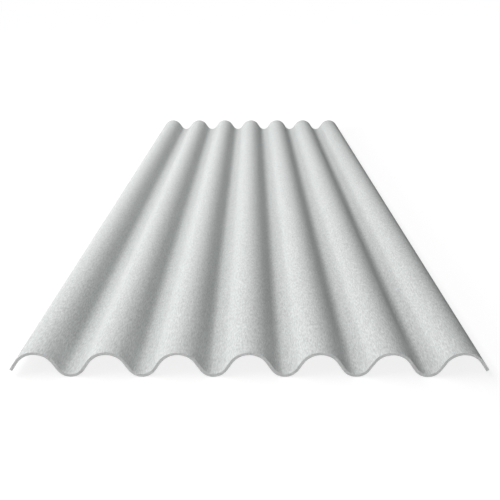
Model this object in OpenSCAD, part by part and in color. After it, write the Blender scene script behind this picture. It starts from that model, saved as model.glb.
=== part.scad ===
// Corrugated fiber cement roofing sheet.
// One moulded sheet: rounded crests and valleys joined by straight flanks,
// trimmed square at both ends, both side edges turned down.
// Lies on its valleys: length along Y, width along X, valley bottoms at Z = 0.

/* [Sheet] */
// length along the waves, mm
sheet_length = 3050; // [1200:50:3660]
// thickness of the sheet, mm
thickness = 6.5; // [4:0.25:9]
// number of crests across the width
crests = 7; // [3:1:9]

/* [Waves] */
// distance from one crest to the next, mm
pitch = 146; // [110:1:180]
// height from a valley to a crest on the same face, mm
wave_depth = 49; // [35:1:60]
// slope of the straight flanks, degrees
flank_angle = 56; // [46:0.5:68]
// share of the two bend radii that belongs to the crest
crest_share = 0.6; // [0.5:0.01:0.7]

/* [Side edges] */
// straight flank left outside each outer crest, down to the cut edge, mm
edge_flank = 21.5; // [8:0.5:32]

/* [Hidden] */
$fn = 96;

half_pitch = pitch / 2;
// sum of the crest and valley bend radii, at mid thickness
radii = (half_pitch * sin(flank_angle) - wave_depth * cos(flank_angle)) / (1 - cos(flank_angle));
crest_radius = radii * crest_share;
valley_radius = radii - crest_radius;
// heights of the bend centres
crest_center = wave_depth + thickness / 2 - crest_radius;
valley_center = thickness / 2 + valley_radius;
outer_crest = (crests - 1) / 2 * pitch;
// flanks end this far inside each bend, so that flat and curve always meet
lap = 0.002;
// spare length of the solids that cut others, past both ends
spare = 10;

// the place where a bend turns into a flank, seen from the bend's centre; side is 1 or -1
function bend_end(radius, side) = [side * radius * sin(flank_angle), radius * cos(flank_angle)];

// everything below a wavy face that lies this far above mid thickness
module below(rise, length) {
    crest_bend = crest_radius + rise;
    valley_bend = valley_radius - rise;
    // the outer flanks run on, well past the side edges
    run_on = 3 * wave_depth;
    run_down = [run_on * cos(flank_angle), -run_on * sin(flank_angle)];
    difference() {
        union() {
            linear_extrude(height = length, center = true)
                polygon(concat(
                    [[-outer_crest, crest_center] + bend_end(crest_bend, -1) + [-run_down.x, run_down.y]],
                    [for (i = [0 : crests - 1], k = [0 : 3])
                        if (k < 2)
                            [i * pitch - outer_crest, crest_center] + bend_end(crest_bend - lap, 2 * k - 1)
                        else if (i < crests - 1)
                            [i * pitch - outer_crest + half_pitch, valley_center]
                                - bend_end(valley_bend - lap, 5 - 2 * k)
                    ],
                    [[outer_crest, crest_center] + bend_end(crest_bend, 1) + run_down]
                ));
            for (i = [0 : crests - 1])
                translate([i * pitch - outer_crest, crest_center, 0])
                    cylinder(r = crest_bend, h = length, center = true);
        }
        for (i = [0 : crests - 2])
            translate([i * pitch - outer_crest + half_pitch, valley_center, 0])
                cylinder(r = valley_bend, h = length + spare, center = true);
    }
}

// the width left between the two side edges, each cut square to its flank
module trim(length) {
    corner = [outer_crest, crest_center] + bend_end(crest_radius + thickness / 2, 1)
        + edge_flank * [cos(flank_angle), -sin(flank_angle)];
    cut = 2 * wave_depth * [tan(flank_angle), 1];
    linear_extrude(height = length, center = true)
        polygon([
            [-corner.x - cut.x, corner.y + cut.y],
            corner + cut,
            corner - cut,
            [-corner.x + cut.x, corner.y - cut.y]
        ]);
}

module corrugated_sheet() {
    color([0.74, 0.76, 0.75])
        rotate([90, 0, 0])
            intersection() {
                difference() {
                    below(thickness / 2, sheet_length);
                    below(-thickness / 2, sheet_length + spare);
                }
                trim(sheet_length + spare);
            }
}

corrugated_sheet();
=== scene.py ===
import math

import bpy
import numpy as np
from mathutils import Matrix, Vector


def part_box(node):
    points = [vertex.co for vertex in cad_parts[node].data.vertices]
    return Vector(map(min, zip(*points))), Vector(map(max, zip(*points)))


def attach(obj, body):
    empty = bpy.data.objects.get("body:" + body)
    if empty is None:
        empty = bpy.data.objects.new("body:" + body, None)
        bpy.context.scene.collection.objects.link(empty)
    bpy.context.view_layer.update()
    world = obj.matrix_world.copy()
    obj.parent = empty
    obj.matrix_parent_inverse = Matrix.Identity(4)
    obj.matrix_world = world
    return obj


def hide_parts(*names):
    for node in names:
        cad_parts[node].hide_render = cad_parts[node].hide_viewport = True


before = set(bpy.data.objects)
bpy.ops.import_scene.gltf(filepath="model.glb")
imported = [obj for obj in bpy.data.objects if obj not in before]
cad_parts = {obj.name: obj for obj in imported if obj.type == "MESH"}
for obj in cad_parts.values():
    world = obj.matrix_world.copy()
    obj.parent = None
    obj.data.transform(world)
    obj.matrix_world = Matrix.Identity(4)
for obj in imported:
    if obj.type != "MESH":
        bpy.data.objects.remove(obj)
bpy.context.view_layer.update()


# ---------------------------------------------------------------------------------------
# The sheet. One board of cement, cellulose pulp and fine plastic fibres, built up from
# thin wet films, laid soft over a wavy former, cured and trimmed. It lies loose on its
# six valley bottoms, weather face up, with both side edges turned down.
# ---------------------------------------------------------------------------------------

sheet_thickness = 0.0065
crest_count = 7
wave_pitch = 0.146
flank_angle = math.radians(56)
# the crest's share of the crest and valley radii together
crest_share = 0.6

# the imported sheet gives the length, the depth of the waves and the width
low_corner, high_corner = (Vector(corner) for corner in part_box("corrugated_sheet"))
sheet_length = high_corner.y - low_corner.y
half_length = sheet_length / 2
wave_depth = high_corner.z - low_corner.z - sheet_thickness

# the bends at mid thickness: their radii and the heights of their centres
half_pitch = wave_pitch / 2
bend_radii = half_pitch * math.sin(flank_angle) - wave_depth * math.cos(flank_angle)
bend_radii /= 1 - math.cos(flank_angle)
crest_radius = bend_radii * crest_share
valley_radius = bend_radii - crest_radius
crest_centre = wave_depth + sheet_thickness / 2 - crest_radius
valley_centre = sheet_thickness / 2 + valley_radius

# the straight flanks: where they leave a crest bend, and how long they are
bend_end_x = crest_radius * math.sin(flank_angle)
bend_end_z = crest_centre + crest_radius * math.cos(flank_angle)
flank_length = (half_pitch - bend_radii * math.sin(flank_angle)) / math.cos(flank_angle)

# the flank outside each outer crest runs down to the cut side edge
outer_crest = (crest_count - 1) / 2 * wave_pitch
outer_bend_end = outer_crest + (crest_radius + sheet_thickness / 2) * math.sin(flank_angle)
edge_flank = (high_corner.x - outer_bend_end) / math.cos(flank_angle)

# how finely the wave is divided, and the distances of the steps beside a side edge from its cut
bend_steps = 18
flank_steps = 3
edge_steps = [0.0, 0.0018, 0.0045, 0.0090, 0.0150]

# columns across the sheet at mid thickness, from the left side edge to the right one:
# each is its place across, its height and the slope angle of the wave there
columns = []


def add_bend(centre_x, centre_z, radius, up):
    """A rounded crest, with up 1, or a rounded valley, with up -1."""
    for angle in np.linspace(-flank_angle, flank_angle, bend_steps + 1):
        x = centre_x + radius * math.sin(angle)
        z = centre_z + up * radius * math.cos(angle)
        columns.append((x, z, -up * angle))


def add_flank(crest_x, side, runs):
    """The flank on the left of a crest, with side -1, or on its right, with side 1.
    The runs are distances down the flank from the bend."""
    for run in runs:
        x = crest_x + side * (bend_end_x + run * math.cos(flank_angle))
        z = bend_end_z - run * math.sin(flank_angle)
        columns.append((x, z, -side * flank_angle))


flank_runs = [flank_length * step / flank_steps for step in range(1, flank_steps)]
edge_runs = [edge_flank - step for step in edge_steps]
add_flank(-outer_crest, -1, edge_runs)
for crest in range(crest_count):
    crest_x = crest * wave_pitch - outer_crest
    add_bend(crest_x, crest_centre, crest_radius, 1)
    if crest < crest_count - 1:
        add_flank(crest_x, 1, flank_runs)
        add_bend(crest_x + half_pitch, valley_centre, valley_radius, -1)
        add_flank(crest_x + wave_pitch, -1, flank_runs[::-1])
add_flank(outer_crest, 1, edge_runs[::-1])

column_count = len(columns)
last_column = column_count - 1
wave_x, wave_z, wave_slope = np.array(columns).T
# the way up through the thickness, and the distance over the waves from the left side edge
up_x = -np.sin(wave_slope)
up_z = np.cos(wave_slope)
wave_run = np.concatenate([[0.0], np.cumsum(np.hypot(np.diff(wave_x), np.diff(wave_z)))])
run_to_side = np.minimum(wave_run, wave_run[-1] - wave_run)


def smooth_noise(positions, spacing, seed):
    """Smooth noise from 0 to 1 along a line of positions, with one random value per spacing."""
    draw = np.random.default_rng(seed)
    first = math.floor(float(np.min(positions)) / spacing) - 1
    count = math.ceil(float(np.max(positions)) / spacing) - first + 3
    values = draw.random(count)
    place = np.asarray(positions) / spacing - first
    index = np.floor(place).astype(int)
    part = place - index
    part = part * part * (3 - 2 * part)
    return values[index] * (1 - part) + values[index + 1] * part


# The arris is the corner where a face meets a cut. Handling rubs it down unevenly, and
# here and there a small chip is gone. The two ends have four long arrises between them.
arris = 0.0007
wear_spacing = 0.012
side_wear_spacing = 0.03
chip_margin = 0.02
arris_and_chip_count = (4, 9)
rng = np.random.default_rng(41)
chip_places = rng.uniform(chip_margin, float(wave_run[-1]) - chip_margin, arris_and_chip_count)
chip_widths = rng.uniform(0.0025, 0.006, arris_and_chip_count)
chip_depths = rng.uniform(0.0004, 0.0011, arris_and_chip_count)


def arris_wear(which):
    """Size of the worn corner at each column, for one of the four long arrises."""
    wear = arris * (0.55 + 0.9 * smooth_noise(wave_run, wear_spacing, seed=100 + which))
    for place, width, depth in zip(chip_places[which], chip_widths[which], chip_depths[which]):
        wear += depth * np.exp(-(((wave_run - place) / width) ** 2))
    # the corners of the board have no chips
    wear[[0, -1]] = arris
    return wear


# the wear at the near end, -1, and at the far end, 1
wear_top = {-1: arris_wear(0), 1: arris_wear(2)}
wear_back = {-1: arris_wear(1), 1: arris_wear(3)}
no_wear = np.zeros(column_count)

# levels through the thickness, from the back face, -1, to the weather face, 1
levels = np.array([-1.0, -0.93, -0.78, -0.42, 0.0, 0.42, 0.78, 0.93, 1.0])
level_count = len(levels)
last_level = level_count - 1

# rows along the sheet: three round the arris of each end, then ever longer steps
end_steps = [0.003, 0.0065, 0.012, 0.020]
middle_step = 0.032
middle_reach = half_length - middle_step
middle_rows = 134
plain_rows = [-half_length + step for step in end_steps]
plain_rows += np.linspace(-middle_reach, middle_reach, middle_rows).tolist()
plain_rows += [half_length - step for step in reversed(end_steps)]
# each row is its end (-1 near, 0 neither, 1 far), its step round the arris and its place along
rows = [(-1, step, -half_length) for step in (0, 1, 2)]
rows += [(0, 0, place) for place in plain_rows]
rows += [(1, step, half_length) for step in (2, 1, 0)]
row_count = len(rows)
# how far the rounded corner of an arris has turned at each of its three steps
turned = [0.0, 1 - math.sqrt(0.5), 1.0]
row_places = [place for end, step, place in rows]
side_wear = arris * (0.6 + 0.8 * smooth_noise(row_places, side_wear_spacing, seed=7))


def cross_section(inset_top, inset_back, side_arris, inset_side):
    """Place across and height of every column and level. The insets draw in the weather face,
    the back face and the side edges; the side arris rounds the corners of the side edges."""
    top = sheet_thickness / 2 - inset_top
    back = sheet_thickness / 2 - inset_back
    offset = (levels[None, :] + 1) / 2 * (top + back)[:, None] - back[:, None]
    x = wave_x[:, None] + up_x[:, None] * offset
    z = wave_z[:, None] + up_z[:, None] * offset
    # the side edges are cut square, with rounded corners
    corner = max(side_arris - inset_side, 0.0)
    half_thick = float(top[0] + back[0]) / 2
    over = np.clip(np.abs(levels) * half_thick - (half_thick - corner), 0, corner)
    pull = inset_side + corner - np.sqrt(corner**2 - over**2)
    x[0] += pull * math.cos(flank_angle)
    z[0] += pull * math.sin(flank_angle)
    x[-1] -= pull * math.cos(flank_angle)
    z[-1] += pull * math.sin(flank_angle)
    return x, z


def settle(x, y, z):
    """A moulded sheet is never quite true: its waves wander a little and are not dead even.
    Every move stays inside the sheet's own box."""
    sag, sag_spacing = 0.012, 0.55
    wander, wander_spacing = 0.0004, 0.70
    bends = np.clip(np.round((x + outer_crest) / wave_pitch * 2) / 2, 0, crest_count - 1)
    middle = wave_depth / 2 + sheet_thickness / 2
    for bend in np.unique(bends):
        mine = bends == bend
        seed = 200 + int(bend * 2)
        lower = sag * smooth_noise(y[mine], sag_spacing, seed)
        z[mine] = middle + (z[mine] - middle) * (1 - lower)
        if 0 < bend < crest_count - 1:
            x[mine] += wander * (smooth_noise(y[mine], wander_spacing, seed + 50) - 0.5)
    return x, y, z


def row_points(number):
    """Across, along and up for every column and level of one row."""
    end, step, place = rows[number]
    side_arris = float(side_wear[number])
    if end == 0:
        x, z = cross_section(no_wear, no_wear, side_arris, 0.0)
        return settle(x, np.full_like(x, place), z)
    # round the arris the faces draw in as the row comes up to the cut
    inset = turned[2 - step]
    x, z = cross_section(wear_top[end] * inset, wear_back[end] * inset, side_arris, arris * inset)
    part_up = (levels + 1) / 2
    wear = wear_back[end][:, None] * (1 - part_up) + wear_top[end][:, None] * part_up
    return settle(x, end * (half_length - wear * turned[step]), z)


# the outline of a row, going round: weather face, right edge, back face, left edge
outline = [(column, last_level) for column in range(column_count)]
outline += [(last_column, level) for level in range(last_level - 1, 0, -1)]
outline += [(column, 0) for column in range(last_column, -1, -1)]
outline += [(0, level) for level in range(1, last_level)]
outline_count = len(outline)
outline_column, outline_level = np.array(outline).T

points = []
depths = []
cut_distances = []
for number in range(row_count):
    row = np.stack(row_points(number), -1)[outline_column, outline_level]
    points.append(row)
    depths.append(levels[outline_level])
    run_to_end = half_length - np.abs(row[:, 1])
    cut_distances.append(np.minimum(run_to_end, run_to_side[outline_column]))

# the skin between the rows, and the finish of each of its faces; the rounded arrises of the
# ends count as cut
WEATHER, BACK, CUT = 0, 1, 2
faces = []
face_kinds = []
for number in range(row_count - 1):
    on_arris = number < 2 or number >= row_count - 3
    here = number * outline_count
    there = here + outline_count
    for k in range(outline_count):
        after = (k + 1) % outline_count
        faces.append((here + k, here + after, there + after, there + k))
        two_levels = (outline_level[k], outline_level[after])
        if on_arris:
            face_kinds.append(CUT)
        elif two_levels == (last_level, last_level):
            face_kinds.append(WEATHER)
        elif two_levels == (0, 0):
            face_kinds.append(BACK)
        else:
            face_kinds.append(CUT)

# the two cut ends are a little rough: their inner points sink in unevenly, and one in
# five of them deeper
shallow_pit = 0.00010
deep_pit = 0.00030
deep_share = 0.2
for end_row, inward in ((0, 1), (row_count - 1, -1)):
    x, y, z = row_points(end_row)
    sunk = shallow_pit * rng.random((column_count, level_count))
    deep = np.clip(rng.random((column_count, level_count)) - (1 - deep_share), 0, 1)
    sunk += deep_pit * deep / deep_share
    inner = np.stack([x, y + inward * sunk, z], -1)[1:-1, 1:-1]
    # the number of the point at each column and level, the outline's first
    point_at = np.empty((column_count, level_count), int)
    point_at[outline_column, outline_level] = end_row * outline_count + np.arange(outline_count)
    inner_count = inner.shape[0] * inner.shape[1]
    first_inner = sum(len(part) for part in points)
    point_at[1:-1, 1:-1] = first_inner + np.arange(inner_count).reshape(inner.shape[:2])
    point_at = point_at.tolist()
    points.append(inner.reshape(-1, 3))
    depths.append(np.tile(levels[1:-1], column_count - 2))
    cut_distances.append(np.zeros(inner_count))
    for i in range(last_column):
        for j in range(last_level):
            quad = (point_at[i][j], point_at[i + 1][j], point_at[i + 1][j + 1], point_at[i][j + 1])
            faces.append(quad if inward > 0 else quad[::-1])
            face_kinds.append(CUT)

sheet_mesh = bpy.data.meshes.new("corrugated_sheet_board")
sheet_mesh.from_pydata(np.concatenate(points).tolist(), [], faces)
sheet_mesh.update()
sheet_mesh.polygons.foreach_set("material_index", face_kinds)
sheet_mesh.polygons.foreach_set("use_smooth", [True] * len(faces))
for layer_name, values in (("depth_in_sheet", depths), ("distance_to_cut", cut_distances)):
    layer = sheet_mesh.attributes.new(layer_name, "FLOAT", "POINT")
    layer.data.foreach_set("value", np.concatenate(values))
sheet = bpy.data.objects.new("corrugated_sheet_board", sheet_mesh)
bpy.context.scene.collection.objects.link(sheet)


def add_node(tree, kind, **settings):
    """A new node with the given settings."""
    made = tree.nodes.new(kind)
    for key, value in settings.items():
        setattr(made, key, value)
    return made


def new_group(name, inputs, outputs):
    """An empty shader node group; inputs are (name, kind, value) and outputs (name, kind).
    Returns the group, its input node and its output node."""
    group = bpy.data.node_groups.new(name, "ShaderNodeTree")
    for label, kind, value in inputs:
        socket = group.interface.new_socket(label, in_out="INPUT", socket_type=kind)
        socket.default_value = value
    for label, kind in outputs:
        group.interface.new_socket(label, in_out="OUTPUT", socket_type=kind)
    return group, add_node(group, "NodeGroupInput"), add_node(group, "NodeGroupOutput")


def math_node(tree, operation, first, second=0.0, clamp=False):
    """One step of arithmetic on numbers or sockets; clamp keeps the result from 0 to 1."""
    made = add_node(tree, "ShaderNodeMath", operation=operation, use_clamp=clamp)
    for socket, value in zip(made.inputs, (first, second)):
        if isinstance(value, (int, float)):
            socket.default_value = value
        else:
            tree.links.new(value, socket)
    return made.outputs[0]


def scaled(tree, vector, scale):
    """A colour or place times a number that changes over the surface."""
    made = add_node(tree, "ShaderNodeVectorMath", operation="SCALE")
    tree.links.new(vector, made.inputs[0])
    tree.links.new(scale, made.inputs["Scale"])
    return made.outputs[0]


def place_node(tree, along=1):
    """Place on the object, squeezed along the sheet so that marks come out that many times as long."""
    place = add_node(tree, "ShaderNodeTexCoord").outputs["Object"]
    squeezed = add_node(tree, "ShaderNodeVectorMath", operation="DIVIDE")
    tree.links.new(place, squeezed.inputs[0])
    squeezed.inputs[1].default_value = (1, along, 1)
    return squeezed.outputs[0]


def noise_node(tree, place, size, detail=2.0, roughness=0.5):
    """Noise from about -1 to 1 whose lumps are about this many metres across."""
    lump_of_scale_one = 0.5
    made = add_node(tree, "ShaderNodeTexNoise")
    made.inputs["Scale"].default_value = lump_of_scale_one / size
    made.inputs["Detail"].default_value = detail
    made.inputs["Roughness"].default_value = roughness
    tree.links.new(place, made.inputs["Vector"])
    # the node gives values round 0.5, most of them within 0.25 of it
    centred = math_node(tree, "SUBTRACT", made.outputs["Fac"], 0.5)
    return math_node(tree, "MULTIPLY", centred, 4.0)


def mixed_tones(tree, parts):
    """One plus the sum of each value times its strength."""
    total = 1.0
    for value, strength in parts:
        total = math_node(tree, "ADD", math_node(tree, "MULTIPLY", value, strength), total)
    return total


def build_cement_grain():
    """Cement skin: a cloudy tone, small mottling, fine light and dark grains, sand and a few
    pale fibres. The wet films are laid down lengthwise, which draws all but the sand out."""
    usual_strengths = {
        "Cloud": 0.02,
        "Mottle": 0.03,
        "Fleck": 0.05,
        "Speckle": 0.1,
        "Sand": 0.05,
        "Fibre": 0.05,
    }
    inputs = [("Colour", "NodeSocketColor", (0.57, 0.59, 0.58, 1))]
    inputs += [(label, "NodeSocketFloat", value) for label, value in usual_strengths.items()]
    outputs = [
        ("Colour", "NodeSocketColor"),
        ("Height", "NodeSocketFloat"),
        ("Roughness", "NodeSocketFloat"),
    ]
    group, source, result = new_group("cement grain", inputs, outputs)
    cloud = noise_node(group, place_node(group, along=2), size=0.12, detail=3.0)
    mottle = noise_node(group, place_node(group, along=4), size=0.012, detail=2.0)
    fleck = noise_node(group, place_node(group, along=8), size=0.0045, detail=1.0)
    speckle = noise_node(group, place_node(group, along=6), size=0.0011, detail=3.0, roughness=0.6)
    sand = noise_node(group, place_node(group), size=0.0004, detail=1.0)
    # fibres are thin lines, drawn where a long noise passes through zero; most are buried
    sharpness = 7.0
    bareness = 3.0
    crossing = noise_node(group, place_node(group, along=5), size=0.0035, detail=1.0)
    crossing = math_node(group, "MULTIPLY", math_node(group, "ABSOLUTE", crossing), sharpness)
    strand = math_node(group, "SUBTRACT", 1.0, crossing, clamp=True)
    shown = noise_node(group, place_node(group, along=4), size=0.008, detail=1.0)
    shown = math_node(group, "MULTIPLY", shown, bareness, clamp=True)
    fibre = math_node(group, "MULTIPLY", strand, shown)
    marks = {
        "Cloud": cloud,
        "Mottle": mottle,
        "Fleck": fleck,
        "Speckle": speckle,
        "Sand": sand,
        "Fibre": fibre,
    }
    tone = mixed_tones(group, [(mark, source.outputs[label]) for label, mark in marks.items()])
    height = mixed_tones(
        group,
        [(speckle, 0.55), (fleck, 0.35), (mottle, 0.2), (sand, 0.3), (fibre, 0.5)],
    )
    # matt all over, and a touch rougher where it is pale
    matt, matt_change = 0.87, 0.03
    roughness = math_node(group, "MULTIPLY", mottle, matt_change)
    roughness = math_node(group, "ADD", roughness, matt)
    toned = scaled(group, source.outputs["Colour"], tone)
    group.links.new(toned, result.inputs["Colour"])
    group.links.new(height, result.inputs["Height"])
    group.links.new(roughness, result.inputs["Roughness"])
    return group


def build_edge_wear():
    """Mask of the strip beside a cut that handling has rubbed: 1 at the cut, ragged, 0 inland."""
    group, source, result = new_group(
        "edge wear",
        [("Reach", "NodeSocketFloat", 0.004), ("Raggedness", "NodeSocketFloat", 0.6)],
        [("Mask", "NodeSocketFloat")],
    )
    least_reach = 0.0002
    distance = add_node(group, "ShaderNodeAttribute", attribute_name="distance_to_cut")
    ragged = noise_node(group, place_node(group), size=0.004, detail=3.0, roughness=0.6)
    ragged = mixed_tones(group, [(ragged, source.outputs["Raggedness"])])
    reach = math_node(group, "MULTIPLY", ragged, source.outputs["Reach"])
    reach = math_node(group, "MAXIMUM", reach, least_reach)
    inland = math_node(group, "DIVIDE", distance.outputs["Fac"], reach)
    mask = math_node(group, "SUBTRACT", 1.0, inland, clamp=True)
    group.links.new(mask, result.inputs["Mask"])
    return group


def build_open_pores():
    """Mask of small open pores of mixed sizes where air was trapped: 1 in a pore, 0 on the skin.
    Widest is the radius of the largest pore as a share of the spacing."""
    group, source, result = new_group(
        "open pores",
        [("Spacing", "NodeSocketFloat", 0.002), ("Widest", "NodeSocketFloat", 0.3)],
        [("Mask", "NodeSocketFloat")],
    )
    bends_per_cell = 2.0
    crookedness = 0.45
    rarity = 3.0
    soft_rim = 0.3
    spacing = source.outputs["Spacing"]
    widest = source.outputs["Widest"]
    place = place_node(group)
    per_metre = math_node(group, "DIVIDE", 1.0, spacing)
    # crooked cells give crooked pores
    bend = add_node(group, "ShaderNodeTexNoise")
    group.links.new(place, bend.inputs["Vector"])
    group.links.new(math_node(group, "MULTIPLY", per_metre, bends_per_cell), bend.inputs["Scale"])
    crooked = scaled(group, bend.outputs["Color"], math_node(group, "MULTIPLY", spacing, crookedness))
    moved = add_node(group, "ShaderNodeVectorMath", operation="ADD")
    group.links.new(place, moved.inputs[0])
    group.links.new(crooked, moved.inputs[1])
    cells = add_node(group, "ShaderNodeTexVoronoi", feature="F1")
    group.links.new(moved.outputs[0], cells.inputs["Vector"])
    group.links.new(per_metre, cells.inputs["Scale"])
    # few pores are large and most cells have next to none
    chance = add_node(group, "ShaderNodeSeparateColor")
    group.links.new(cells.outputs["Color"], chance.inputs[0])
    share = math_node(group, "POWER", chance.outputs[0], rarity)
    radius = math_node(group, "MULTIPLY", share, widest)
    inside = math_node(group, "SUBTRACT", radius, cells.outputs["Distance"])
    rim = math_node(group, "MULTIPLY", widest, soft_rim)
    group.links.new(math_node(group, "DIVIDE", inside, rim, clamp=True), result.inputs["Mask"])
    return group


cement_grain = build_cement_grain()
edge_wear = build_edge_wear()
open_pores = build_open_pores()


def cement_finish(name, colour, bump_height, **grain_strengths):
    """A matt cement finish with grain in its colour, roughness and bump; returns its node tree."""
    material = bpy.data.materials.new(name)
    material.use_nodes = True
    tree = material.node_tree
    shader = tree.nodes["Principled BSDF"]
    # dry cement hardly shines
    shader.inputs["Specular IOR Level"].default_value = 0.25
    grain = add_node(tree, "ShaderNodeGroup", node_tree=cement_grain)
    grain.inputs["Colour"].default_value = (*colour, 1)
    for label, strength in grain_strengths.items():
        grain.inputs[label].default_value = strength
    bump = add_node(tree, "ShaderNodeBump", name="Relief")
    bump.inputs["Distance"].default_value = bump_height
    tree.links.new(grain.outputs["Colour"], shader.inputs["Base Color"])
    tree.links.new(grain.outputs["Roughness"], shader.inputs["Roughness"])
    tree.links.new(grain.outputs["Height"], bump.inputs["Height"])
    tree.links.new(bump.outputs["Normal"], shader.inputs["Normal"])
    sheet_mesh.materials.append(material)
    return tree


def tone_colour(tree, value, strength):
    """Multiply a finish's colour by one plus a value times a strength."""
    colour = tree.nodes["Principled BSDF"].inputs["Base Color"]
    tone = mixed_tones(tree, [(value, strength)])
    tree.links.new(scaled(tree, colour.links[0].from_socket, tone), colour)


def add_relief(tree, value, strength):
    """Add a value times a strength to a finish's bump."""
    height = tree.nodes["Relief"].inputs["Height"]
    added = math_node(tree, "MULTIPLY", value, strength)
    tree.links.new(math_node(tree, "ADD", height.links[0].from_socket, added), height)


def rub_edges(tree, reach, raggedness, strength):
    """Lighten a finish in the strips beside the cuts."""
    wear = add_node(tree, "ShaderNodeGroup", node_tree=edge_wear)
    wear.inputs["Reach"].default_value = reach
    wear.inputs["Raggedness"].default_value = raggedness
    tone_colour(tree, wear.outputs["Mask"], strength)


def open_the_pores(tree, spacing, widest, painted_pore_shade, depth):
    """Sink the pores of a finish, and darken them with painted shade."""
    pores = add_node(tree, "ShaderNodeGroup", node_tree=open_pores)
    pores.inputs["Spacing"].default_value = spacing
    pores.inputs["Widest"].default_value = widest
    # painted shade: the colour inside each pore is darkened, since the bump alone casts no shade there
    tone_colour(tree, pores.outputs["Mask"], -painted_pore_shade)
    add_relief(tree, pores.outputs["Mask"], -depth)


# the weather face is the closed, even one, a pale grey with a trace of green
weather_face = cement_finish(
    "weather face",
    colour=(0.570, 0.588, 0.582),
    bump_height=0.00012,
    Cloud=0.004,
    Mottle=0.005,
    Fleck=0.014,
    Speckle=0.27,
    Sand=0.10,
    Fibre=0.05,
)
rub_edges(weather_face, reach=0.0035, raggedness=0.7, strength=0.07)
open_the_pores(weather_face, spacing=0.006, widest=0.10, painted_pore_shade=0.35, depth=3.0)

# the back keeps the print of the felt that it was made on, a fine weave of ribs
back_face = cement_finish(
    "back face",
    colour=(0.500, 0.510, 0.495),
    bump_height=0.00020,
    Cloud=0.035,
    Mottle=0.035,
    Fleck=0.05,
    Speckle=0.10,
    Sand=0.06,
    Fibre=0.10,
)
rub_edges(back_face, reach=0.005, raggedness=0.7, strength=0.08)
open_the_pores(back_face, spacing=0.005, widest=0.14, painted_pore_shade=0.35, depth=2.0)
felt_rib = 0.0022
band_of_scale_one = 0.314
for direction in ("X", "Y"):
    ribs = add_node(back_face, "ShaderNodeTexWave", wave_type="BANDS", bands_direction=direction)
    ribs.inputs["Scale"].default_value = band_of_scale_one / felt_rib
    ribs.inputs["Distortion"].default_value = 1.2
    ribs.inputs["Detail"].default_value = 1.0
    ribs.inputs["Detail Scale"].default_value = 0.3
    back_face.links.new(place_node(back_face), ribs.inputs["Vector"])
    add_relief(back_face, ribs.outputs["Fac"], strength=0.5)

# the cut shows the films that the board was built from, and small open pores
cut_edge = cement_finish(
    "cut edge",
    colour=(0.630, 0.639, 0.634),
    bump_height=0.00025,
    Cloud=0.010,
    Mottle=0.03,
    Fleck=0.05,
    Speckle=0.14,
    Sand=0.10,
    Fibre=0.08,
)
# films are thin through the thickness and run on for a few centimetres along the cut
film_breaks = 30.0
film_layers = 4.0
film_place = add_node(cut_edge, "ShaderNodeCombineXYZ")
film_depth = add_node(cut_edge, "ShaderNodeAttribute", attribute_name="depth_in_sheet")
cut_place = add_node(cut_edge, "ShaderNodeSeparateXYZ")
cut_edge.links.new(place_node(cut_edge), cut_place.inputs[0])
for axis, value, lumps in (
    ("X", cut_place.outputs["X"], film_breaks),
    ("Y", cut_place.outputs["Y"], film_breaks),
    ("Z", film_depth.outputs["Fac"], film_layers),
):
    cut_edge.links.new(math_node(cut_edge, "MULTIPLY", value, lumps), film_place.inputs[axis])
films = noise_node(cut_edge, film_place.outputs[0], size=0.5, detail=2.0, roughness=0.6)
tone_colour(cut_edge, films, strength=0.07)
add_relief(cut_edge, films, strength=0.5)
open_the_pores(cut_edge, spacing=0.0014, widest=0.30, painted_pore_shade=0.50, depth=0.8)

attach(sheet, "root")
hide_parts("corrugated_sheet")


# ---------------------------------------------------------------------------------------
# The floor. A plain pale studio sweep, level and far larger than the sheet, just under its
# valleys. To the eye it is white, and it keeps the sheet's shadow close to the sheet.
# ---------------------------------------------------------------------------------------

floor_reach = 30.0
floor_drop = 0.0004
floor_corners = [(-1, -1), (1, -1), (1, 1), (-1, 1)]
floor_points = [(x * floor_reach, y * floor_reach, -floor_drop) for x, y in floor_corners]
floor_mesh = bpy.data.meshes.new("studio_floor")
floor_mesh.from_pydata(floor_points, [], [(0, 1, 2, 3)])
floor = bpy.data.objects.new("studio_floor", floor_mesh)
bpy.context.scene.collection.objects.link(floor)


def seen_by_eye(tree):
    """1 for rays that look at a surface, straight, in a gloss or through glass, and 0 for light."""
    rays = add_node(tree, "ShaderNodeLightPath")
    seen = math_node(tree, "MAXIMUM", rays.outputs["Is Camera Ray"], rays.outputs["Is Glossy Ray"])
    return math_node(tree, "MAXIMUM", seen, rays.outputs["Is Transmission Ray"])


# how pale the floor is to the light it gives back, and how strongly it shows a shadow
bounce_tone = 0.35
shadow_tone = 0.20
# beside the sheet its glow is weaker, so that the shadow shows, and then it fades to white
glow_beside_sheet = 0.85
fade_start = 0.06
fade_end = 0.61

floor_paint = bpy.data.materials.new("floor paint")
floor_paint.use_nodes = True
tree = floor_paint.node_tree
tree.nodes.clear()
floor_place = add_node(tree, "ShaderNodeSeparateXYZ")
tree.links.new(add_node(tree, "ShaderNodeTexCoord").outputs["Object"], floor_place.inputs[0])
distance_x = math_node(tree, "ABSOLUTE", floor_place.outputs["X"])
distance_x = math_node(tree, "SUBTRACT", distance_x, high_corner.x)
distance_y = math_node(tree, "ABSOLUTE", floor_place.outputs["Y"])
distance_y = math_node(tree, "SUBTRACT", distance_y, high_corner.y)
fade = add_node(tree, "ShaderNodeMapRange", interpolation_type="SMOOTHSTEP")
fade.inputs["From Min"].default_value = fade_start
fade.inputs["From Max"].default_value = fade_end
fade.inputs["To Min"].default_value = glow_beside_sheet
fade.inputs["To Max"].default_value = 1.0
tree.links.new(math_node(tree, "MAXIMUM", distance_x, distance_y), fade.inputs["Value"])
glow = add_node(tree, "ShaderNodeEmission")
tree.links.new(fade.outputs[0], glow.inputs["Strength"])
shadow_part = add_node(tree, "ShaderNodeBsdfDiffuse")
shadow_part.inputs["Color"].default_value = (shadow_tone, shadow_tone, shadow_tone, 1)
white = add_node(tree, "ShaderNodeAddShader")
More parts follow.
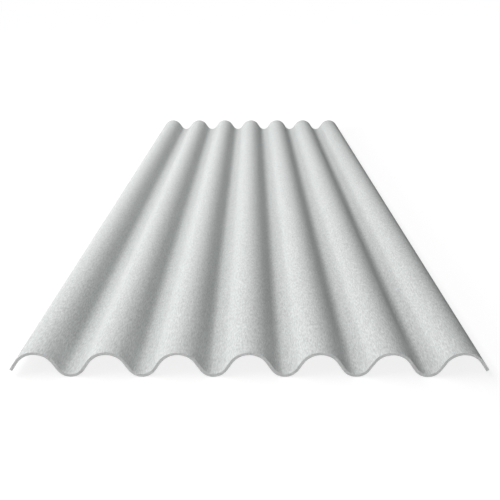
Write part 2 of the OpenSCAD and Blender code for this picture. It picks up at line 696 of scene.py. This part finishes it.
tree.links.new(shadow_part.outputs[0], white.inputs[0])
tree.links.new(glow.outputs[0], white.inputs[1])
bounce = add_node(tree, "ShaderNodeBsdfDiffuse")
bounce.inputs["Color"].default_value = (bounce_tone, bounce_tone, bounce_tone, 1)
choose = add_node(tree, "ShaderNodeMixShader")
tree.links.new(seen_by_eye(tree), choose.inputs["Fac"])
tree.links.new(bounce.outputs[0], choose.inputs[1])
tree.links.new(white.outputs[0], choose.inputs[2])
result = add_node(tree, "ShaderNodeOutputMaterial")
tree.links.new(choose.outputs[0], result.inputs["Surface"])
floor_mesh.materials.append(floor_paint)

# the backdrop is a white surround that lights nothing
surround = bpy.data.worlds.new("surround")
bpy.context.scene.world = surround
surround.use_nodes = True
backdrop = surround.node_tree.nodes["Background"]
backdrop.inputs["Color"].default_value = (1, 1, 1, 1)
surround.node_tree.links.new(seen_by_eye(surround.node_tree), backdrop.inputs["Strength"])


# ---------------------------------------------------------------------------------------
# The lamps. Long soft boxes that run beside the sheet, most of them on its left, so the
# left flanks are bright and the right flanks fall into soft shade from end to end.
# ---------------------------------------------------------------------------------------


def soft_box(name, place, aim, width, length, watts):
    """A soft box at a place, turned to face the aim, with its length along the sheet."""
    lamp = bpy.data.lights.new(name, "AREA")
    lamp.shape = "RECTANGLE"
    lamp.size = width
    lamp.size_y = length
    lamp.energy = watts
    holder = bpy.data.objects.new(name, lamp)
    bpy.context.scene.collection.objects.link(holder)
    holder.location = place
    back = (Vector(place) - Vector(aim)).normalized()
    # a box that faces along the sheet has its length across it instead
    along = Vector((0, 1, 0)) if abs(back.y) < 0.5 else Vector((1, 0, 0))
    side = along.cross(back).normalized()
    holder.rotation_euler = Matrix((side, back.cross(side), back)).transposed().to_euler()
    holder.visible_camera = False


sheet_middle = (0, 0, 0.03)
soft_box("key box", (-3.35, 0, 3.75), sheet_middle, width=0.70, length=8.0, watts=146.0)
soft_box("high box", (-2.35, 0, 4.45), sheet_middle, width=0.70, length=8.0, watts=53.5)
soft_box("far left box", (-4.70, 0, 1.74), sheet_middle, width=0.70, length=8.0, watts=74.0)
soft_box("left box", (-2.17, 0, 1.28), sheet_middle, width=0.40, length=8.0, watts=17.5)
soft_box("top box", (-0.48, 0, 1.35), sheet_middle, width=0.25, length=8.0, watts=28.0)
soft_box("right box", (2.38, 0, 0.80), sheet_middle, width=0.40, length=8.0, watts=9.0)
# a low box that stands before the near end lights its cut and hardly reaches the faces
near_end = (0, -1.5, 0.03)
soft_box("front box", (0.80, -4.6, 0.15), near_end, width=0.30, length=2.0, watts=38.5)


# ---------------------------------------------------------------------------------------
# The camera. It stands before the near end at table height and looks along the waves
# and down on them.
# ---------------------------------------------------------------------------------------

camera_data = bpy.data.cameras.new("camera")
camera_data.sensor_width = 36.0
camera_data.lens = 57.80
# its place beside the middle line, before the near end and above the floor
camera_aside = 0.0047
camera_before = 1.483
camera_above = 0.7535
look_down = math.radians(17.94)
look_aside = math.radians(-0.12)
camera = bpy.data.objects.new("camera", camera_data)
bpy.context.scene.collection.objects.link(camera)
camera.location = (camera_aside, -half_length - camera_before, camera_above)
camera.rotation_euler = (math.pi / 2 - look_down, 0, -look_aside)
bpy.context.scene.camera = camera
bpy.context.scene.view_settings.view_transform = "Standard"
